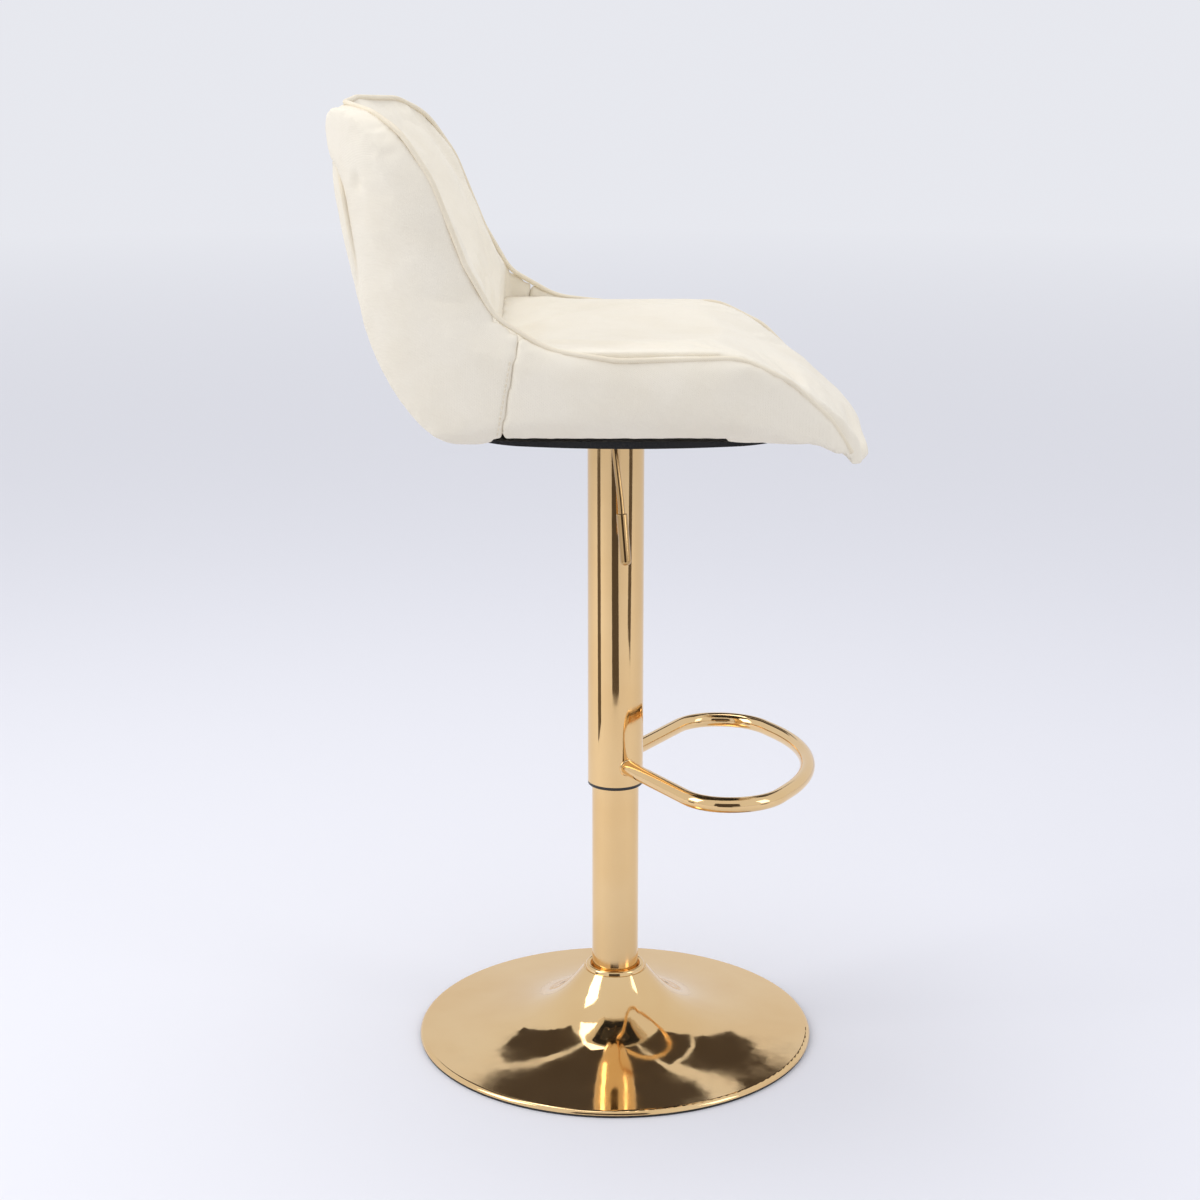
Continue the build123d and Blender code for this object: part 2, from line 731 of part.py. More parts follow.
def side_outline():
    """Side view of the bands: the piping's line in front, the rear and the underside."""
    with BuildSketch(Plane.XZ) as view:
        with BuildLine():
            for arc in BACK_ARCS:
                ThreePointArc(*arc)
            Line((-157.7, BOARD_TOP_Z), (181.6, BOARD_TOP_Z))
            Spline(
                (181.6, BOARD_TOP_Z),
                (204.8, 680.9),
                (227.9, 673.2),
                tangents=[(1, -0.1), (1, 0)],
            )
            Spline(*PIPING_POINTS, tangents=[(-0.3, 1), (-1, 0.1)])
        make_face()
    return view.sketch


def past_seam(sign):
    """Side view of all that lies ahead of (1) or behind (-1) the seam in the bands."""
    far = BAND_SEAM_X + sign * 500
    with BuildSketch(Plane.XZ) as view:
        with BuildLine():
            Polyline(
                (BAND_SEAM_X - 10, 683),
                (BAND_SEAM_X - 14, 620),
                (far, 620),
                (far, 1100),
                (BAND_SEAM_X + 30, 1100),
                (BAND_SEAM_X + 10, 792.8),
                (BAND_SEAM_X - 10, 683),
            )
        make_face()
    return view.sketch


def seat_band(side, name):
    """The side band of the seat, from the seam to the front corner, on one side."""
    with BuildPart() as band:
        extrude(side_outline(), amount=-240 * side)
        extrude(past_seam(1), amount=300, both=True, mode=Mode.INTERSECT)
        trim_to_outlines()
        extrude(seat_core_outline(), amount=400, mode=Mode.SUBTRACT)
    save(band.part, name)


seat_band(-1, "seat_band_right")
seat_band(1, "seat_band_left")


def back_core_zone():
    """Side view of the backrest's foam and plywood, which the band wraps round."""
    with BuildSketch(Plane.XZ) as view:
        with BuildLine():
            sheet = ply_line(0)
            Polyline(sheet @ 1, (-266, 1003.6), (-263.3, 1088.8), (187.4, 1088.8), sheet @ 0)
        make_face()
    return view.sketch


with BuildPart() as back_band:
    extrude(side_outline(), amount=240, both=True)
    extrude(past_seam(-1), amount=300, both=True, mode=Mode.INTERSECT)
    trim_to_outlines()
    extrude(back_core_zone(), amount=BACK_CORE_HALF, both=True, mode=Mode.SUBTRACT)
    extrude(rear_panel_outline(), amount=400, mode=Mode.SUBTRACT)
    extrude(seat_core_outline(), amount=400, mode=Mode.SUBTRACT)
save(back_band.part, "back_band")


def piping(name, points, radii):
    """A round cord along a mirrored route: points run from one end to near the middle."""
    other = [(x, -y, z) for x, y, z in reversed(points)]
    with BuildPart() as cord:
        with BuildLine() as route:
            FilletPolyline(*points, *other, radius=[*radii, *reversed(radii)])
        start = Vector(points[0])
        with BuildSketch(Plane(origin=start, z_dir=Vector(points[1]) - start)):
            Circle(PIPING_R)
        sweep(path=route.wires()[0])
    save(cord.part, name)


piping(
    "front_piping",
    [
        (225.9, -163.7, 678),
        (204.1, -179.3, 711.8),
        (163.4, -198.5, 752),
        (113.7, -207.5, 775.7),
        (0, -212.2, 773.8),
        (-64.4, -202.6, 782.4),
        (-115.1, -193.4, 812.5),
        (-142.7, -189.6, 861.1),
        (-173.1, -179.6, 938.5),
        (-201.8, -169.4, 982),
        (-231, -140.4, 999.1),
        (-265, -55.4, 1003.6),
    ],
    [56, 56, 56, 75, 75, 47, 56, 85, 56, 38, 42],
)
piping(
    "rear_piping",
    [
        (-189.9, -131.7, 706),
        (-220.1, -143.3, 761.5),
        (-237.7, -150, 816.3),
        (-252.7, -150.7, 886.1),
        (-260, -143.5, 925.7),
        (-266.6, -109.6, 953),
        (-272.9, -46.4, 960.3),
    ],
    [56, 85, 85, 38, 28, 56],
)

# Black cover under the seat: a shallow-bellied board with a mouth for the seat plate.
COVER_REAR_X = -151.0
COVER_FRONT_X = 174.0
COVER_HALF = 176.0
COVER_EDGE_Z = 689.7

with BuildPart() as bottom_cover:
    with BuildSketch(Plane.XZ):
        with BuildLine():
            ThreePointArc(
                (COVER_REAR_X, COVER_EDGE_Z), (5, 683.5), (COVER_FRONT_X, COVER_EDGE_Z)
            )
            Polyline(
                (COVER_FRONT_X, COVER_EDGE_Z),
                (COVER_FRONT_X, BOARD_TOP_Z),
                (COVER_REAR_X, BOARD_TOP_Z),
                (COVER_REAR_X, COVER_EDGE_Z),
            )
        make_face()
    extrude(amount=COVER_HALF, both=True)
    with BuildSketch(Plane.XY.offset(600)):
        with Locations(((COVER_REAR_X + COVER_FRONT_X) / 2, 0)):
            RectangleRounded(COVER_FRONT_X - COVER_REAR_X, 2 * COVER_HALF, 60)
    extrude(amount=200, mode=Mode.INTERSECT)
    with BuildSketch(Plane.XY.offset(600)):
        RectangleRounded(FLANGE_X + 4, FLANGE_Y + 4, 14)
    extrude(amount=200, mode=Mode.SUBTRACT)
save(bottom_cover.part, "bottom_cover")
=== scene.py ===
# %% [markdown]
# # A gas-lift bar stool in cream cloth and gilt steel
# The stool stands on a spun trumpet base.  A gas lift inside the column raises a
# sleeve that carries the footrest and an upholstered bucket seat.
#
# The measured frame of the stool is loaded first.  It fixes where every part is and
# how it moves, so all that follows only dresses it: metal, plastic and cloth.

import json
import math

import bpy
import numpy as np
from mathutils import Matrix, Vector, noise
from mathutils.bvhtree import BVHTree
from mathutils.kdtree import KDTree


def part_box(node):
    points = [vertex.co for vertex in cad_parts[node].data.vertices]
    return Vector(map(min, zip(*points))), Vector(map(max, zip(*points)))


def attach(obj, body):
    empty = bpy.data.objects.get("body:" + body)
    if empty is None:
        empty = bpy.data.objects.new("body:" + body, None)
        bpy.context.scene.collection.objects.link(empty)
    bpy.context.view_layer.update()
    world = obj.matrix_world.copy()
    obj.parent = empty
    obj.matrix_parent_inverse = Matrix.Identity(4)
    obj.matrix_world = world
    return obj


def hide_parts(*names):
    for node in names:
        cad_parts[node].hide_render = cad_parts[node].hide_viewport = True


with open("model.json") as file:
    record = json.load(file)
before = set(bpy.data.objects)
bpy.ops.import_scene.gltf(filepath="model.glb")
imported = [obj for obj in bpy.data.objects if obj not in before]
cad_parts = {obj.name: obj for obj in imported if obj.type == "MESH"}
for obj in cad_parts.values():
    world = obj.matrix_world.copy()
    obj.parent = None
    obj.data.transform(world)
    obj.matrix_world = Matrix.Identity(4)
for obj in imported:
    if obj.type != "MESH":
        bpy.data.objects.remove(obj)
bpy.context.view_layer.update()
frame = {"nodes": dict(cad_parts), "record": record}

# %% [markdown]
# ## Where the stool is looked at from
# The camera stands to the sitter's right, a little above the top of the back.  Its
# lens is a short telephoto and is tipped down a little, so that the tall column stays
# nearly straight.

# %% Camera
LENS_MM = 70.56
TIPPED_DOWN = math.radians(14.56)
STANDS_AT = (-0.0165, -2.393, 1.110)

lens = bpy.data.cameras.new("camera")
lens.lens = LENS_MM
lens.sensor_width = 36
lens.clip_end = 200     # metres, past the far edge of the floor
camera = bpy.data.objects.new("camera", lens)
camera.location = STANDS_AT
camera.rotation_euler = (math.pi / 2 - TIPPED_DOWN, 0, 0)
bpy.context.scene.collection.objects.link(camera)
bpy.context.scene.camera = camera
print("camera height, m:", camera.location.z)

# %% [markdown]
# ## Small tools for making meshes
# Most pieces here are either swept tubes, such as a weld bead or a thread, or soft
# shapes that start from the frame's own solids.  Both end as a mesh of vertices and
# faces with smooth shading.


# %% Mesh tools
def as_object(name, mesh, smooth=True):
    """A finished mesh becomes an object at the origin of the scene."""
    for face in mesh.polygons:
        face.use_smooth = smooth
    piece = bpy.data.objects.new(name, mesh)
    bpy.context.scene.collection.objects.link(piece)
    return piece


def mesh_from(name, points, faces):
    mesh = bpy.data.meshes.new(name)
    mesh.from_pydata([tuple(p) for p in points], [], faces)
    mesh.validate()
    mesh.update()
    return mesh


def positions(mesh):
    """The vertices of a mesh as rows of x, y, z."""
    flat = np.empty(len(mesh.vertices) * 3)
    mesh.vertices.foreach_get("co", flat)
    return flat.reshape(-1, 3)


def normals(mesh):
    flat = np.empty(len(mesh.vertices) * 3)
    mesh.vertex_normals.foreach_get("vector", flat)
    return flat.reshape(-1, 3)


def place(mesh, rows):
    mesh.vertices.foreach_set("co", np.asarray(rows, float).ravel())
    mesh.update()


def smoothstep(low, high, value):
    """0 below low, 1 above high, and an even curve between."""
    t = np.clip((np.asarray(value, float) - low) / (high - low), 0, 1)
    return t * t * (3 - 2 * t)


ROUNDED_END = 0.7       # how far a tube's end stands out, in radii


def tube_rings(route, radius, sides, closed=False):
    """Points and faces of a round tube along a route, with closed, rounded ends."""
    route = [Vector(p) for p in route]
    count = len(route)
    points, faces = [], []
    last_side = None
    for i, here in enumerate(route):
        if closed:
            ahead = route[(i + 1) % count] - route[i - 1]
        else:
            ahead = route[min(i + 1, count - 1)] - route[max(i - 1, 0)]
        ahead.normalize()
        if last_side is None:
            last_side = ahead.orthogonal()
        side = (last_side - ahead * last_side.dot(ahead)).normalized()
        last_side = side
        up = ahead.cross(side)
        for k in range(sides):
            turn = 2 * math.pi * k / sides
            points.append(here + (side * math.cos(turn) + up * math.sin(turn)) * radius)
    rings = count if closed else count - 1
    for i in range(rings):
        a, b = i * sides, ((i + 1) % count) * sides
        for k in range(sides):
            n = (k + 1) % sides
            faces.append((a + k, a + n, b + n, b + k))
    if not closed:
        for end, ring, out in ((route[0], 0, -1), (route[-1], count - 1, 1)):
            other = route[1] if out < 0 else route[-2]
            tip = len(points)
            points.append(end + (end - other).normalized() * radius * ROUNDED_END)
            for k in range(sides):
                n = (k + 1) % sides
                a, b = ring * sides + k, ring * sides + n
                faces.append((tip, b, a) if out < 0 else (tip, a, b))
    return points, faces


def joined(groups):
    """Several lists of points and faces as one."""
    points, faces = [], []
    for more_points, more_faces in groups:
        start = len(points)
        points.extend(more_points)
        faces.extend(tuple(start + i for i in face) for face in more_faces)
    return points, faces


# %% [markdown]
# ## Materials
# Each material gets the fine detail that the real one shows.  The gilt steel is
# polished but never perfectly even, the cloth is a short-pile weave whose nap lies in
# soft patches, and the black parts differ from each other mostly in their grain.


# %% Tools for materials
def new_material(name, colour, roughness, metallic=0.0):
    made = bpy.data.materials.new(name)
    made.use_nodes = True
    shader = made.node_tree.nodes["Principled BSDF"]
    shader.inputs["Base Color"].default_value = (*colour, 1)
    shader.inputs["Roughness"].default_value = roughness
    shader.inputs["Metallic"].default_value = metallic
    return made, shader


def add_node(made, kind, **settings):
    node = made.node_tree.nodes.new(kind)
    for key, value in settings.items():
        if key in node.inputs:
            node.inputs[key].default_value = value
        else:
            setattr(node, key, value)
    return node


def wire(made, out, into):
    made.node_tree.links.new(out, into)


def speckle(made, scale, detail=2.0, rough=0.5, stretch=None):
    """Noise in the stool's own metres; scale is blotches per metre."""
    where = add_node(made, "ShaderNodeTexCoord")
    source = where.outputs["Object"]
    if stretch:
        squeeze = add_node(made, "ShaderNodeMapping")
        squeeze.inputs["Scale"].default_value = stretch
        wire(made, source, squeeze.inputs["Vector"])
        source = squeeze.outputs["Vector"]
    grain = add_node(made, "ShaderNodeTexNoise", Scale=scale, Detail=detail, Roughness=rough)
    wire(made, source, grain.inputs["Vector"])
    return grain.outputs["Fac"]


def ranged(made, value, low, high, to_low, to_high):
    span = add_node(made, "ShaderNodeMapRange")
    span.inputs["From Min"].default_value = low
    span.inputs["From Max"].default_value = high
    span.inputs["To Min"].default_value = to_low
    span.inputs["To Max"].default_value = to_high
    wire(made, value, span.inputs["Value"])
    return span.outputs["Result"]


def blended(made, share, one, two):
    """A colour between two, or between an output and a colour."""
    mixer = add_node(made, "ShaderNodeMix", data_type="RGBA")
    wire(made, share, mixer.inputs["Factor"])
    for given, socket in ((one, mixer.inputs[6]), (two, mixer.inputs[7])):
        if isinstance(given, tuple):
            socket.default_value = (*given, 1)
        else:
            wire(made, given, socket)
    return mixer.outputs[2]


def raised(made, shader, heights):
    """Bumps on the shader, one after another: each is (height output, depth in metres)."""
    below = None
    for height, depth in heights:
        bump = add_node(made, "ShaderNodeBump", Strength=1.0, Distance=depth)
        wire(made, height, bump.inputs["Height"])
        if below:
            wire(made, below, bump.inputs["Normal"])
        below = bump.outputs["Normal"]
    wire(made, below, shader.inputs["Normal"])


# %% Gilt steel
def gilt(name, colour, warm, smear):
    """Polished steel with a champagne gold plating: faint polishing waves and smears."""
    made, shader = new_material(name, colour, 0.07, 1.0)
    tone = ranged(made, speckle(made, 9, 3), 0.35, 0.65, 0, 1)
    wire(made, blended(made, tone, colour, warm), shader.inputs["Base Color"])
    smears = speckle(made, 26, 4, 0.6, smear)
    wire(made, ranged(made, smears, 0.35, 0.75, 0.035, 0.13), shader.inputs["Roughness"])
    raised(
        made,
        shader,
        [(speckle(made, 45, 1), 0.00006), (speckle(made, 1500, 2, 0.5, smear), 0.0000015)],
    )
    return made


GOLD = (0.86, 0.61, 0.315)
GOLD_WARM = (0.82, 0.555, 0.265)
gold_base = gilt("gold_base", GOLD, GOLD_WARM, (1, 1, 4))
gold_tube = gilt("gold_tube", GOLD, GOLD_WARM, (1, 1, 0.12))

# %% Bare steel, cast iron, rubber, plastic and plywood
def grainy(name, colour, second, roughness, metallic, scale, depth, spread=0.12):
    """A plain engineering finish: two close tones, uneven gloss and a fine grain."""
    made, shader = new_material(name, colour, roughness, metallic)
    tone = ranged(made, speckle(made, scale * 0.04, 3), 0.35, 0.65, 0, 1)
    wire(made, blended(made, tone, colour, second), shader.inputs["Base Color"])
    gloss = ranged(
        made, speckle(made, scale * 0.1, 3), 0.3, 0.7, roughness - spread / 2, roughness + spread
    )
    wire(made, gloss, shader.inputs["Roughness"])
    raised(made, shader, [(speckle(made, scale, 3), depth)])
    return made


plain_steel = grainy("plain_steel", (0.52, 0.52, 0.54), (0.42, 0.42, 0.44), 0.28, 1.0, 700, 1e-5)
bearing_steel = grainy("bearing_steel", (0.6, 0.6, 0.62), (0.5, 0.5, 0.53), 0.15, 1.0, 900, 4e-6)
black_steel = grainy("black_steel", (0.02, 0.02, 0.021), (0.033, 0.032, 0.031), 0.42, 0.0, 900, 4e-5)
cast_weight = grainy("cast_weight", (0.06, 0.06, 0.062), (0.1, 0.095, 0.09), 0.7, 0.2, 400, 2e-4)
black_rubber = grainy("black_rubber", (0.013, 0.013, 0.014), (0.025, 0.025, 0.025), 0.6, 0.0, 1200, 4e-5)
black_plastic = grainy("black_plastic", (0.016, 0.016, 0.017), (0.024, 0.024, 0.025), 0.35, 0.0, 1500, 1e-5)

birch_ply, ply_shader = new_material("birch_ply", (0.62, 0.46, 0.29), 0.6)
ply_grain = speckle(birch_ply, 60, 5, 0.6, (0.12, 1, 6))
wire(
    birch_ply,
    blended(birch_ply, ply_grain, (0.68, 0.51, 0.33), (0.48, 0.33, 0.19)),
    ply_shader.inputs["Base Color"],
)
raised(birch_ply, ply_shader, [(ply_grain, 0.0001)])


# %% [markdown]
# ## Cream upholstery cloth
# The cover is a smooth short-pile cloth.  Close to, it is a fine weave with a fuzz
# of pile over it; from further off the nap lies in soft patches that shade a little.
# The pull of each seam gathers the cloth beside it in tiny puckers, and the cloth beside
# the piping is darkened with a painted shade, so every soft piece carries a value that
# says how close its seams are.


# %% Cloth materials
DIAGONAL = 0.785        # an eighth of a turn, in radians
WAVE_RATE = 6.3         # waves that the wave texture draws at scale 1, per metre


def woven(name, light, dark, seam_shade_colour, threads, depth, sheen):
    """Cloth: crossed threads under a fuzz of pile, with soft patches of nap, and a painted shade beside the
    piping.
    """
    made, shader = new_material(name, light, 0.82)
    shader.inputs["Sheen Weight"].default_value = sheen
    shader.inputs["Sheen Roughness"].default_value = 0.45
    shader.inputs["Sheen Tint"].default_value = (1.0, 0.97, 0.9, 1)
    shader.inputs["Specular IOR Level"].default_value = 0.3
    nap = speckle(made, 16, 4, 0.55)
    patchy = ranged(made, nap, 0.38, 0.68, 0, 0.55)
    fuzz = speckle(made, threads * 1.6, 2, 0.6)
    colour = blended(made, patchy, light, dark)
    colour = blended(made, ranged(made, fuzz, 0.3, 0.75, 0.3, 0), colour, dark)
    # painted shade: the cloth beside the piping is darkened towards a tan
    seam = add_node(made, "ShaderNodeAttribute", attribute_name="painted_seam_shade")
    seam_shaded = ranged(made, seam.outputs["Fac"], 0, 1, 0, 0.75)
    wire(made, blended(made, seam_shaded, colour, seam_shade_colour), shader.inputs["Base Color"])
    wire(made, ranged(made, nap, 0.3, 0.7, 0.74, 0.9), shader.inputs["Roughness"])
    where = add_node(made, "ShaderNodeTexCoord")
    waves = []
    for turn in ((0.0, 0.0, DIAGONAL), (0.0, DIAGONAL, -DIAGONAL)):
        turned = add_node(made, "ShaderNodeMapping")
        turned.inputs["Rotation"].default_value = turn
        wire(made, where.outputs["Object"], turned.inputs["Vector"])
        wave = add_node(made, "ShaderNodeTexWave", Scale=threads / WAVE_RATE, Distortion=1.5)
        wave.inputs["Detail"].default_value = 1.0
        wire(made, turned.outputs["Vector"], wave.inputs["Vector"])
        waves.append(wave.outputs["Fac"])
    cross = add_node(made, "ShaderNodeMath", operation="MULTIPLY")
    wire(made, waves[0], cross.inputs[0])
    wire(made, waves[1], cross.inputs[1])
    raised(
        made,
        shader,
        [(speckle(made, 60, 3), depth * 5), (cross.outputs[0], depth), (fuzz, depth * 0.9)],
    )
    return made


CREAM = (0.83, 0.775, 0.66)
CREAM_DEEP = (0.77, 0.705, 0.575)
# the painted shade beside the piping: the tan that the cream cloth and the cord darken towards
SEAM_SHADE_TAN = (0.60, 0.49, 0.34)
CORD = (0.80, 0.73, 0.59)
CORD_DEEP = (0.72, 0.63, 0.47)
BLACK = (0.014, 0.014, 0.015)
BLACK_WORN = (0.024, 0.024, 0.026)
# the painted shade beside the piping, on the black cloth
BLACK_SEAM_SHADE = (0.01, 0.01, 0.01)
cream_cloth = woven("cream_cloth", CREAM, CREAM_DEEP, SEAM_SHADE_TAN, 1500, 0.00012, 0.25)
cream_piping = woven("cream_piping", CORD, CORD_DEEP, SEAM_SHADE_TAN, 1700, 0.00012, 0.2)
black_cloth = woven("black_cloth", BLACK, BLACK_WORN, BLACK_SEAM_SHADE, 900, 0.0002, 0.1)

# %% [markdown]
# ## Dressing the frame's own parts
# Turned, drawn and pressed metal is already exact in the frame.  Those parts stay as
# they are and only change their finish for one of the materials above.

# %% Finishes of the hard parts
FINISHES = {
    "gold_base": gold_base,
    "gold_tube": gold_tube,
    "plain_steel": plain_steel,
    "bearing_steel": bearing_steel,
    "black_steel": black_steel,
    "cast_weight": cast_weight,
    "black_rubber": black_rubber,
    "black_plastic": black_plastic,
    "birch_ply": birch_ply,
    "cream_cloth": cream_cloth,
    "cream_piping": cream_piping,
    "black_cloth": black_cloth,
}
SLOTS = {entry["node"]: entry["material_slot"] for entry in frame["record"]["subparts"]}

# the lever is given a darker gold than the tubes
gold_lever = gilt("gold_lever", (0.60, 0.40, 0.19), (0.52, 0.33, 0.14), (1, 1, 0.4))
DARKER = {"lever_rod": gold_lever, "lever_grip": gold_lever}

for node, part in frame["nodes"].items():
    finish = DARKER.get(node) or FINISHES[SLOTS[node]]
    part.data.materials.clear()
    part.data.materials.append(finish)
print("parts given a finish:", len(frame["nodes"]))

# %% [markdown]
# ## Stuffed pieces
# A padded seat is foam under sewn panels.  Each panel is drawn in hard at its seams
# and stands proud between them, so no face of it is truly flat.  That shape comes from
# blowing up a cloth copy of the foam a little, as the foam presses on its cover, and
# letting it move less and less towards the seams that hold it.
#
# The back is one foam body.  Its wrap and its cushion are both made from that body:
# where one covers the other, the lower one dives under it, as a seam allowance does.

# %% Stuffing
GAP = 0.0004            # clearance that each panel keeps from the foam's own surface
VOXEL = 0.005           # spacing of the even mesh round the foam
BOARD_FRONT_X = -0.11   # the upright part of the plywood lies behind this
BOARD_HALF = 0.1665     # half-width of the plywood with its wadding
CORNER_X = -0.2638      # the rounded rear corners start here, CORNER_HALF from the middle
CORNER_HALF = 0.1345
CORNER_SLOPE = 0.895
PRESSURE = 4.0          # of the foam on its cover
SETTLED = 20            # frames until the cover lies still
WAVES = 22              # slow unevenness of the stuffing, in noise cells per metre
RIPPLES = 51
WAVE_HEIGHT = 0.0010
PUCKERS = 150           # fine gathers beside the seams, in noise cells per metre
PUCKER_HEIGHT = 0.0011
PUCKER_OFF = 0.007      # their distance from the seam, and how far they spread
PUCKER_SPREAD = 0.006


def solid_of(*nodes):
    """Points and faces of several of the frame's parts together."""
    groups = []
    for node in nodes:
        mesh = frame["nodes"][node].data
        corners = [v.co.copy() for v in mesh.vertices]
        groups.append((corners, [tuple(p.vertices) for p in mesh.polygons]))
    return joined(groups)


def distance_to(nodes, rows):
    """How far each point is from the nearest surface of some of the frame's parts."""
    tree = BVHTree.FromPolygons(*solid_of(*nodes))
    return np.array([tree.find_nearest(Vector(row))[3] for row in rows])


def as_shown(piece):
    """The mesh of an object with its modifiers worked out."""
    now = bpy.context.evaluated_depsgraph_get()
    return bpy.data.meshes.new_from_object(piece.evaluated_get(now))


def padded_board():
    """The upright part of the plywood, out to just inside the rounded rear corners."""
    points, faces = solid_of("seat_shell")
    half = max(p.y for p in points)
    wide = []
    for p in points:
        room = min(BOARD_HALF, CORNER_HALF + (p.x - CORNER_X) * CORNER_SLOPE)
        wide.append(Vector((min(p.x, BOARD_FRONT_X), p.y * room / half, p.z)))
    return wide, faces


def foam_body(name, nodes):
    """An even mesh round several blocks of foam together."""
    groups = [solid_of(*nodes)]
    if len(nodes) > 1:
        groups.append(padded_board())
    block = as_object(name + "_block", mesh_from(name + "_block", *joined(groups)))
    even = block.modifiers.new("even", "REMESH")
    even.mode = "VOXEL"
    even.voxel_size = VOXEL
    soft = block.modifiers.new("soft", "SMOOTH")
    soft.factor = 0.5
    soft.iterations = 1
    shape = as_shown(block)
    bpy.data.objects.remove(block)
    place(shape, positions(shape) - normals(shape) * GAP)
    return shape


def blown_up(shape, name, held):
    """The same vertices after the cloth has taken up its pressure."""
    body = as_object(name + "_cover", shape.copy())
    pins = body.vertex_groups.new(name="held")
    pins.add([int(index) for index in np.nonzero(held)[0]], 1.0, "REPLACE")
    cloth = body.modifiers.new("cover", "CLOTH")
    cloth.settings.quality = 5
    cloth.settings.mass = 0.3
    cloth.settings.tension_stiffness = 20
    cloth.settings.compression_stiffness = 20
    cloth.settings.bending_stiffness = 1.0
    cloth.settings.use_pressure = True
    cloth.settings.uniform_pressure_force = PRESSURE
    cloth.settings.vertex_group_mass = "held"
    cloth.settings.effector_weights.gravity = 0
    cloth.point_cache.frame_end = SETTLED
    for step in range(1, SETTLED + 1):
        bpy.context.scene.frame_set(step)
    rows = positions(as_shown(body))
    bpy.data.objects.remove(body)
    bpy.context.scene.frame_set(1)
    return rows


def stuffed(name, node, foam, covered, swell, reach, tuck=0.0, tucked=None):
    """A sewn, stuffed panel that stands for a node of the frame.

    covered(rows) is 1 where the panel is held against something.  Between those places
    it swells by up to swell, which it reaches at the distance reach from them, and
    tucked(rows) is 1 where it dives under another panel by the depth tuck.
    """
    shape = foam_body(name, foam)
    start = positions(shape)
    out = normals(shape)
    under = covered(start)
    edge = np.nonzero(under > 0.5)[0]
    hems = KDTree(len(edge))
    for index in edge:
        hems.insert(Vector(start[index]), int(index))
    hems.balance()
    near = np.array([hems.find(Vector(row))[2] for row in start])
    loose = smoothstep(0.0, reach, near)
    grown = blown_up(shape, name, under > 0.9)
    move = grown - start
    length = np.linalg.norm(move, axis=1, keepdims=True)
    move *= np.minimum(1, swell / np.maximum(length, 1e-9))
    spots = [Vector(row) for row in start]
    waves = [noise.noise(spot * WAVES) + 0.5 * noise.noise(spot * RIPPLES) for spot in spots]
    gathers = [noise.noise(spot * PUCKERS) for spot in spots]
    hem = np.exp(-(((near - PUCKER_OFF) / PUCKER_SPREAD) ** 2)) * (1 - under)
    along = np.array(waves) * loose * WAVE_HEIGHT + np.array(gathers) * hem * PUCKER_HEIGHT
    if tucked:
        along = along - tucked(start) * tuck
    place(shape, start + move * loose[:, None] + out * along[:, None])
    rough = as_object(name + "_rough", shape)
    finer = rough.modifiers.new("finer", "SUBSURF")
    finer.levels = finer.render_levels = 1
    piece = as_object(name, as_shown(rough))
    bpy.data.objects.remove(rough)
    piece.data.materials.clear()
    piece.data.materials.append(cream_cloth)
    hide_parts(node)
    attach(piece, "seat")
    print(name, "vertices:", len(piece.data.vertices))
    return piece


def touching(*nodes):
    """Covered wherever the panel lies against these parts."""
    return lambda rows: 1 - smoothstep(0.0015, 0.004, distance_to(nodes, rows))


# %% The cushion that is sat on, and the bands at its sides
PRESSED = -0.003        # the seat's panels press this far into the back where they meet

seat_cushion = stuffed(
    "seat_cushion", "seat_pad", ["seat_pad"],
    touching("seat_band_right", "seat_band_left", "back_pad", "back_band", "seat_shell"),
    0.009, 0.04, PRESSED, touching("back_pad", "back_band"),
)
side_right = stuffed(
    "side_right", "seat_band_right", ["seat_band_right"],
    touching("seat_pad", "back_band", "seat_shell", "bottom_cover"), 0.004, 0.035,
    PRESSED, touching("back_band"),
)
side_left = stuffed(
    "side_left", "seat_band_left", ["seat_band_left"],
    touching("seat_pad", "back_band", "seat_shell", "bottom_cover"), 0.004, 0.035,
    PRESSED, touching("back_band"),
)

# %% [markdown]
# The hollow that the sitter leans into is part of a leaning cylinder.  Everything on
# that cylinder is the back cushion, and everything round it is the wrap.

# %% The back: wrap, cushion and rear panel
HOLLOW_R = 0.374
hollow_foot = Vector((-0.1185, 0, 0.7710))
hollow_top = Vector((-0.2646, 0, 1.0027))
lean = (hollow_top - hollow_foot).normalized()
hollow_axis = hollow_foot + Vector((lean.z, 0, -lean.x)) * HOLLOW_R
BACK_FOAM = ["back_band", "back_pad", "rear_panel"]


def outside_hollow(rows):
    """How far each point is from the surface of the hollow, outwards."""
    offset = rows - np.array(hollow_axis)
    offset = offset - np.outer(offset @ np.array(lean), np.array(lean))
    return np.linalg.norm(offset, axis=1) - HOLLOW_R


def under_panels(rows):
    """Where the back cushion or the rear panel lies over the wrap."""
    cushion = 1 - smoothstep(-0.003, 0.001, outside_hollow(rows))
    on_panel = 1 - smoothstep(0.001, 0.003, distance_to(["rear_panel"], rows))
    off_band = smoothstep(0.001, 0.004, distance_to(["back_band"], rows))
    return np.maximum(cushion, on_panel * off_band)


def wrap_held(rows):
    """Where the wrap is held: under the panels over it, and at its foot."""
    foot = touching("seat_pad", "seat_band_right", "seat_band_left", "bottom_cover")(rows)
    return np.maximum(under_panels(rows), foot)


def under_wrap(rows):
    """Where the back cushion dives under the wrap."""
    return smoothstep(0.004, 0.009, outside_hollow(rows))


back_wrap = stuffed(
    "back_wrap", "back_band", BACK_FOAM, wrap_held, 0.004, 0.035, 0.005, under_panels
)
back_cushion = stuffed(
    "back_cushion", "back_pad", BACK_FOAM, under_wrap, 0.009, 0.04, 0.007, under_wrap
)
back_panel = stuffed(
    "back_panel", "rear_panel", ["rear_panel"],
    touching("back_band", "seat_shell", "back_pad"), 0.004, 0.03,
)
SOFT = [seat_cushion, back_cushion, side_right, side_left, back_wrap, back_panel]

# %% [markdown]
# ## Where the seams are
# The piping is sewn along the edges of the side bands, the back and the rear panel, so
# their cloth is drawn in under it.  The seat cushion stops just short of it.  The cloth
# beside the piping is also shaded, which shows as a fine tan line.

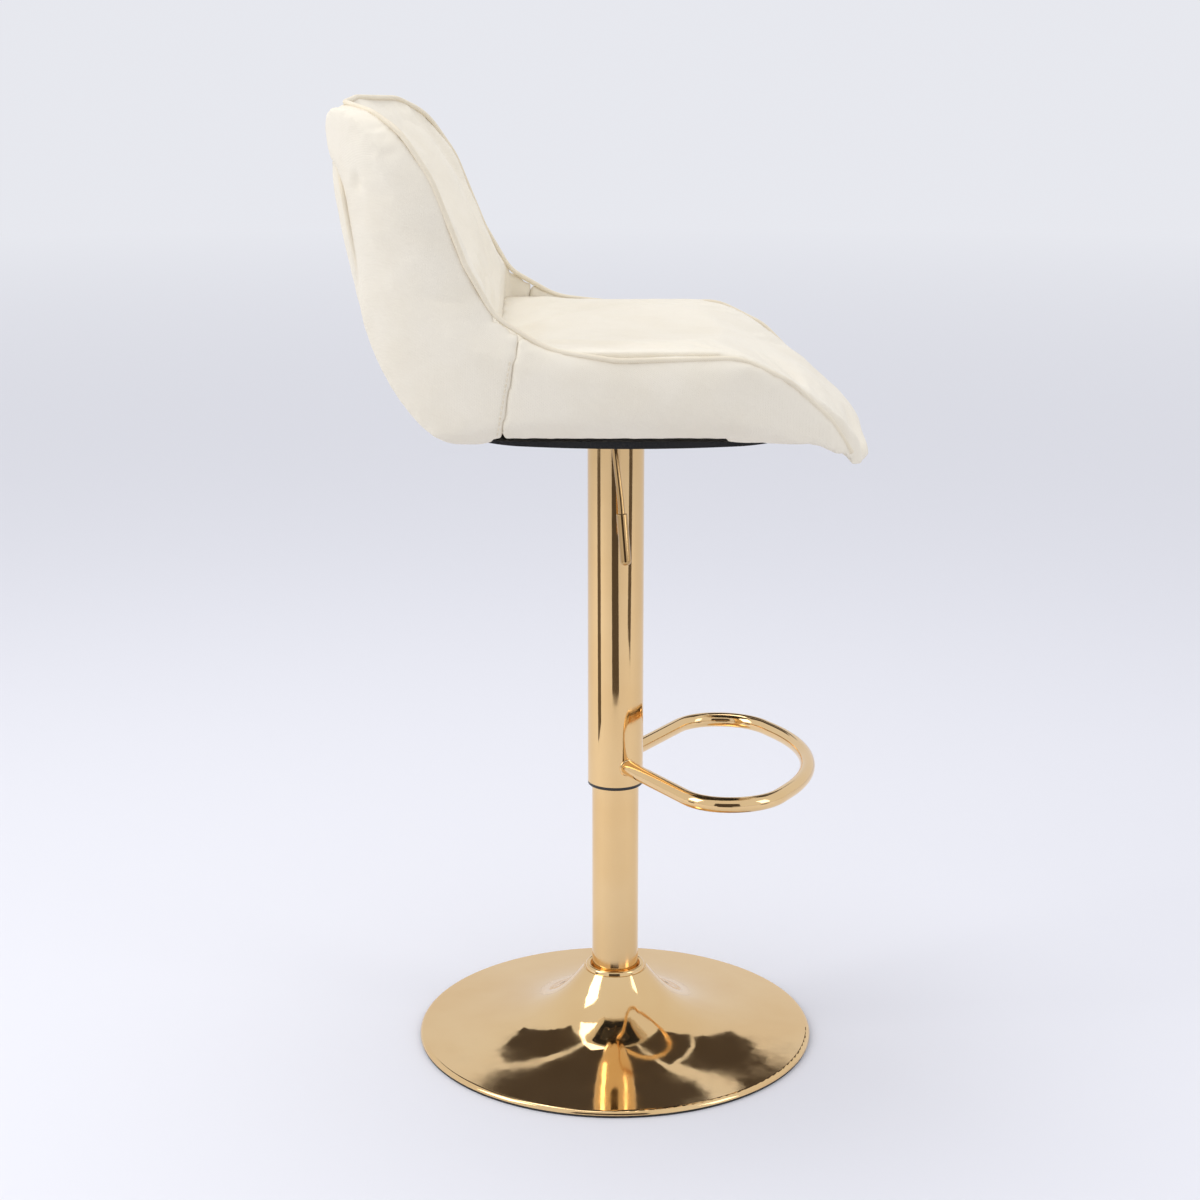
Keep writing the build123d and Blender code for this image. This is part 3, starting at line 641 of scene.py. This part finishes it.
# %% Cloth drawn in under the piping, and the shade beside it
SEWN_IN = 0.0006        # depth at which the cloth goes into the piping
DRAWN = 0.0065          # distance over which the cloth is drawn in
SHADED = 0.0030         # distance over which it is shaded
piping = BVHTree.FromPolygons(*solid_of("front_piping", "rear_piping"))
for piece in SOFT:
    rows = positions(piece.data)
    seams = []
    for row in rows:
        spot, normal, _, _ = piping.find_nearest(Vector(row))
        outside = (Vector(row) - spot).dot(normal) > 0
        seams.append(spot - normal * SEWN_IN if outside else row)
    pull = np.array(seams) - rows
    far = np.linalg.norm(pull, axis=1)
    place(piece.data, rows + pull * np.exp(-(far / DRAWN) ** 2)[:, None])
    # painted shade beside the piping: 1 at the piping, fading out over SHADED
    shade = piece.data.attributes.new("painted_seam_shade", "FLOAT", "POINT")
    shade.data.foreach_set("value", np.exp(-(far / SHADED) ** 2).astype(np.float32))
    print(piece.name, "vertices drawn in:", int((far < DRAWN).sum()))

# %% [markdown]
# ## Weld beads on the footrest
# The bar of the footrest is brazed to the sleeve before plating, so a small smooth
# bead runs round each end of it.  The bead follows the line where the two tubes meet.

# %% Footrest beads
low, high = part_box("footrest_bar")
BAR_R = (high.z - low.z) / 2
BAR_Z = (high.z + low.z) / 2
tube_low, tube_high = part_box("footrest_tube")
TUBE_R = (tube_high.x - tube_low.x) / 2
ARM = Vector((0.0773, 0.1258, 0)).normalized()
ARM_FOOT = Vector((0.0083, 0.0181, 0))
BEAD_R = 0.0014
BEAD_STEPS = 48
beads = []
for side in (-1, 1):
    along = Vector((ARM.x, ARM.y * side, 0))
    foot = Vector((ARM_FOOT.x, ARM_FOOT.y * side, BAR_Z))
    across = Vector((-along.y, along.x, 0))
    line = []
    for k in range(BEAD_STEPS):
        turn = 2 * math.pi * k / BEAD_STEPS
        offset = across * math.cos(turn) * BAR_R + Vector((0, 0, math.sin(turn) * BAR_R))
        base = foot + offset
        half = base.x * along.x + base.y * along.y
        rest = base.x ** 2 + base.y ** 2 - TUBE_R ** 2
        line.append(base + along * (-half + math.sqrt(half * half - rest)))
    beads.append(tube_rings(line, BEAD_R, 10, closed=True))
weld = as_object("footrest_beads", mesh_from("footrest_beads", *joined(beads)))
weld.data.materials.append(gold_tube)
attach(weld, "seat")
print("bar radius, mm:", round(BAR_R * 1000, 2))

# %% [markdown]
# ## Threads and staples
# The two parts of each side band are joined by a plain seam with a row of topstitching
# just behind it.  Below, the dust cover is stapled to the plywood all round.  Each
# stitch and each staple is a short bent wire laid on the surface under it.


# %% Stitches along the band seams
def surface_of(mesh):
    corners = [v.co.copy() for v in mesh.vertices]
    return BVHTree.FromPolygons(corners, [tuple(p.vertices) for p in mesh.polygons])


def laid(tree, starts, towards):
    """Where rays from some points first meet a surface."""
    found = []
    for start in starts:
        spot, normal, _, _ = tree.ray_cast(Vector(start), Vector(towards))
        if spot is not None:
            found.append((spot, normal if normal.dot(Vector(towards)) < 0 else -normal))
    return found


STITCH = 0.0052         # from one stitch to the next
STITCH_SHARE = 0.68     # of that, the length that shows
THREAD_R = 0.0005
SEAM_X = -0.1115        # the band seam at the height SEAM_Z, from where it leans forward
SEAM_Z = 0.683
SEAM_LEAN = 0.1818
BEHIND_SEAM = 0.0055
STITCHED_FROM = 0.702
STITCHED_TO = 0.778
CLEAR_OF_SIDES = 0.35
stitches = []
wrap_surface = surface_of(back_wrap.data)
for side in (-1, 1):
    heights = np.arange(STITCHED_FROM, STITCHED_TO, STITCH)
    backs = [SEAM_X + (z - SEAM_Z) * SEAM_LEAN - BEHIND_SEAM for z in heights]
    starts = [(x, side * CLEAR_OF_SIDES, z) for x, z in zip(backs, heights)]
    spots = laid(wrap_surface, starts, (0, -side, 0))
    for (here, out), (there, _) in zip(spots, spots[1:]):
        line = []
        for share in (0.0, 0.25, 0.5, 0.75, 1.0):
            lift = THREAD_R * (1.1 if 0 < share < 1 else -1.0)
            line.append(here.lerp(there, share * STITCH_SHARE) + out * lift)
        stitches.append(tube_rings(line, THREAD_R, 6))
threads = as_object("band_stitches", mesh_from("band_stitches", *joined(stitches)))
threads.data.materials.append(cream_piping)
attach(threads, "seat")
print("stitches:", len(stitches))

# %% Staples round the dust cover
STAPLES = 34
STAPLE = 0.010
STAPLE_R = 0.0004
STAPLE_LEG = 0.001
FROM_EDGE = 0.010       # from the edge of the cover to the staples
SQUARED = 0.45          # below 1, an ellipse becomes a rounded rectangle
CLEAR_BELOW = 0.6
cover_low, cover_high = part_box("bottom_cover")
cover_surface = surface_of(frame["nodes"]["bottom_cover"].data)
middle = (cover_low + cover_high) / 2
half_x = (cover_high.x - cover_low.x) / 2 - FROM_EDGE
half_y = (cover_high.y - cover_low.y) / 2 - FROM_EDGE
staples = []
for k in range(STAPLES):
    turn = 2 * math.pi * (k + 0.5) / STAPLES
    c, d = math.cos(turn), math.sin(turn)
    x = middle.x + half_x * math.copysign(abs(c) ** SQUARED, c)
    y = middle.y + half_y * math.copysign(abs(d) ** SQUARED, d)
    along = Vector((-d * half_x, c * half_y, 0)).normalized()
    below = Vector((x, y, CLEAR_BELOW))
    ends = [below - along * STAPLE / 2, below + along * STAPLE / 2]
    spots = laid(cover_surface, ends, (0, 0, 1))
    if len(spots) == 2:
        (one, out), (two, _) = spots
        leg, rise = out * STAPLE_LEG, out * STAPLE_R
        line = [one - leg, one + rise, two + rise, two - leg]
        staples.append(tube_rings(line, STAPLE_R, 6))
wires = as_object("cover_staples", mesh_from("cover_staples", *joined(staples)))
wires.data.materials.append(plain_steel)
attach(wires, "seat")
print("staples:", len(staples))

# %% [markdown]
# ## Studio
# A pale floor runs out of sight in every direction under an even pale sky.  Two large
# soft boxes light the stool, and dark cloths hang out of view on the near side, which
# is what gives polished gold its brown and amber reflections.  Only reflections see
# them.

# %% Floor and sky
SKY = (0.80, 0.81, 0.86)
FAR = 60                # from the middle of the floor to its edge
FADE_FROM = 2.0
FADE_TO = 9.0
floor_corners = [(-FAR, -FAR, 0), (FAR, -FAR, 0), (FAR, FAR, 0), (-FAR, FAR, 0)]
floor_mesh = mesh_from("floor", floor_corners, [(0, 1, 2, 3)])
floor = as_object("floor", floor_mesh, smooth=False)
floor_paint, floor_shader = new_material("floor_paint", (0.79, 0.79, 0.825), 0.6)
floor_shader.inputs["Specular IOR Level"].default_value = 0.15
# far off, the floor fades into the sky
where = add_node(floor_paint, "ShaderNodeTexCoord")
reach = add_node(floor_paint, "ShaderNodeVectorMath", operation="LENGTH")
wire(floor_paint, where.outputs["Object"], reach.inputs[0])
fade = ranged(floor_paint, reach.outputs["Value"], FADE_FROM, FADE_TO, 0, 1)
glow = add_node(floor_paint, "ShaderNodeEmission", Strength=1.0)
glow.inputs["Color"].default_value = (*SKY, 1)
both = add_node(floor_paint, "ShaderNodeMixShader")
wire(floor_paint, fade, both.inputs["Fac"])
wire(floor_paint, floor_shader.outputs["BSDF"], both.inputs[1])
wire(floor_paint, glow.outputs["Emission"], both.inputs[2])
floor_output = floor_paint.node_tree.nodes["Material Output"]
wire(floor_paint, both.outputs["Shader"], floor_output.inputs["Surface"])
floor.data.materials.append(floor_paint)

sky = bpy.data.worlds.new("sky")
sky.use_nodes = True
sky.node_tree.nodes["Background"].inputs["Color"].default_value = (*SKY, 1)
sky.node_tree.nodes["Background"].inputs["Strength"].default_value = 1.0
bpy.context.scene.world = sky
bpy.context.scene.view_settings.view_transform = "Standard"


# %% Soft boxes, and the dark cloths that the gold mirrors
AIMED_AT = Vector((0, 0, 0.6))
JUST_OFF_FLOOR = 0.01
CEILING_Z = 3.3
WALL_TOP = 2.6


def soft_box(name, at, size, power):
    """A large rectangular lamp aimed at the middle of the stool."""
    lamp = bpy.data.lights.new(name, "AREA")
    lamp.shape = "RECTANGLE"
    lamp.size, lamp.size_y = size
    lamp.energy = power
    stand = bpy.data.objects.new(name, lamp)
    stand.location = at
    aim = AIMED_AT - Vector(at)
    stand.rotation_euler = aim.to_track_quat("-Z", "Y").to_euler()
    bpy.context.scene.collection.objects.link(stand)


soft_box("left_box", (-2.4, -0.8, 1.9), (1.2, 1.8), 22)
soft_box("right_box", (2.3, -1.2, 1.5), (0.8, 1.6), 8)
soft_box("top_box", (-0.4, 0.4, 3.0), (1.6, 1.6), 20)

dark_paint, _ = new_material("dark_paint", (0.075, 0.058, 0.046), 0.9)


def dark_cloth(name, corners):
    """A dark cloth that only reflections can see."""
    cloth = as_object(name, mesh_from(name, corners, [(0, 1, 2, 3)]), smooth=False)
    cloth.data.materials.append(dark_paint)
    cloth.visible_camera = False
    cloth.visible_diffuse = False
    cloth.visible_shadow = False


def on_floor(*corners):
    return [(x, y, JUST_OFF_FLOOR) for x, y in corners]


def upright(x0, x1, y):
    return [(x0, y, 0), (x1, y, 0), (x1, y, WALL_TOP), (x0, y, WALL_TOP)]


def overhead(x0, x1, y0, y1):
    return [(x, y, CEILING_Z) for x, y in ((x0, y0), (x1, y0), (x1, y1), (x0, y1))]


dark_cloth("near_wall", upright(-1.5, 1.1, -3.4))
dark_cloth("near_floor", on_floor((-1.1, -3.4), (0.5, -3.4), (0.32, -1.25), (-0.3, -1.25)))
dark_cloth("left_floor", on_floor((-3.4, -1.5), (-1.0, -0.55), (-1.0, -0.25), (-3.4, -0.5)))
dark_cloth("right_floor", on_floor((1.3, -1.1), (3.6, -2.4), (3.6, -1.2), (1.3, -0.7)))
dark_cloth("ceiling_left", overhead(-1.9, -0.8, 1.2, 5.0))
dark_cloth("ceiling_middle", overhead(-0.68, 0.52, 1.3, 6.5))
dark_cloth("ceiling_right", overhead(0.6, 1.7, 1.2, 3.4))
dark_cloth("ceiling_far", overhead(0.7, 1.6, 3.6, 6.0))
